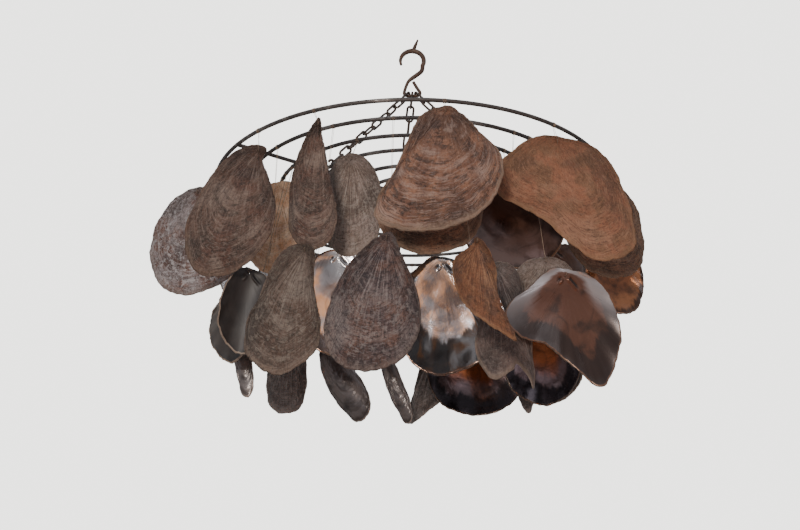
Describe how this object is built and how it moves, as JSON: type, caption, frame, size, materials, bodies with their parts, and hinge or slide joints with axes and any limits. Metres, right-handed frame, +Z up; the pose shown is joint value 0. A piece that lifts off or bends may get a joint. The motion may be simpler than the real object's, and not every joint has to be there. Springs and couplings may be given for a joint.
{
  "type": "shell chandelier",
  "caption": "Hanging shell chandelier: large saddle-oyster shells wired in two tiers to a round iron ring frame, on chains from a forged hook.",
  "frame": {"origin": "where the forged hook hangs, at the inner top of its bowl", "axes": "+Z up; +X to the right and -Y towards the viewer at the front of the chandelier"},
  "size_m": [0.7763, 0.6652, 0.6853],
  "materials": {
    "shell": "weathered saddle-oyster shell: matt grey-brown outside with fine growth lines, dark glossy nacre inside",
    "frame_iron": "round mild-steel bar, welded and blackened, satin",
    "chain_iron": "blackened iron wire chain, satin",
    "forged_hook": "forged iron with a dark rust-brown skin",
    "lampholder": "moulded black phenolic lampholder, satin",
    "lamp_glass": "warm frosted lamp glass, lit"
  },
  "bodies": {
    "root": {"bulb_left": "lamp_glass", "bulb_middle": "lamp_glass", "bulb_right": "lamp_glass", "chain_1": "chain_iron", "chain_2": "chain_iron", "chain_3": "chain_iron", "hook": "forged_hook", "lampholder_left": "lampholder", "lampholder_middle": "lampholder", "lampholder_right": "lampholder", "lower_shell_01": "shell", "lower_shell_02": "shell", "lower_shell_03": "shell", "lower_shell_04": "shell", "lower_shell_05": "shell", "lower_shell_06": "shell", "lower_shell_07": "shell", "lower_shell_08": "shell", "lower_shell_09": "shell", "lower_shell_10": "shell", "lower_shell_11": "shell", "lower_shell_12": "shell", "lower_shell_13": "shell", "lower_shell_14": "shell", "lower_shell_15": "shell", "lower_shell_16": "shell", "lower_shell_17": "shell", "lower_shell_18": "shell", "lower_shell_19": "shell", "open_link_1": "chain_iron", "open_link_2": "chain_iron", "open_link_3": "chain_iron", "ring_frame": "frame_iron", "upper_shell_01": "shell", "upper_shell_02": "shell", "upper_shell_03": "shell", "upper_shell_04": "shell", "upper_shell_05": "shell", "upper_shell_06": "shell", "upper_shell_07": "shell", "upper_shell_08": "shell", "upper_shell_09": "shell", "upper_shell_10": "shell", "upper_shell_11": "shell", "upper_shell_12": "shell", "upper_shell_13": "shell", "upper_shell_14": "shell", "upper_shell_15": "shell", "upper_shell_16": "shell", "upper_shell_17": "shell", "upper_shell_18": "shell"}
  },
  "joints": []
}
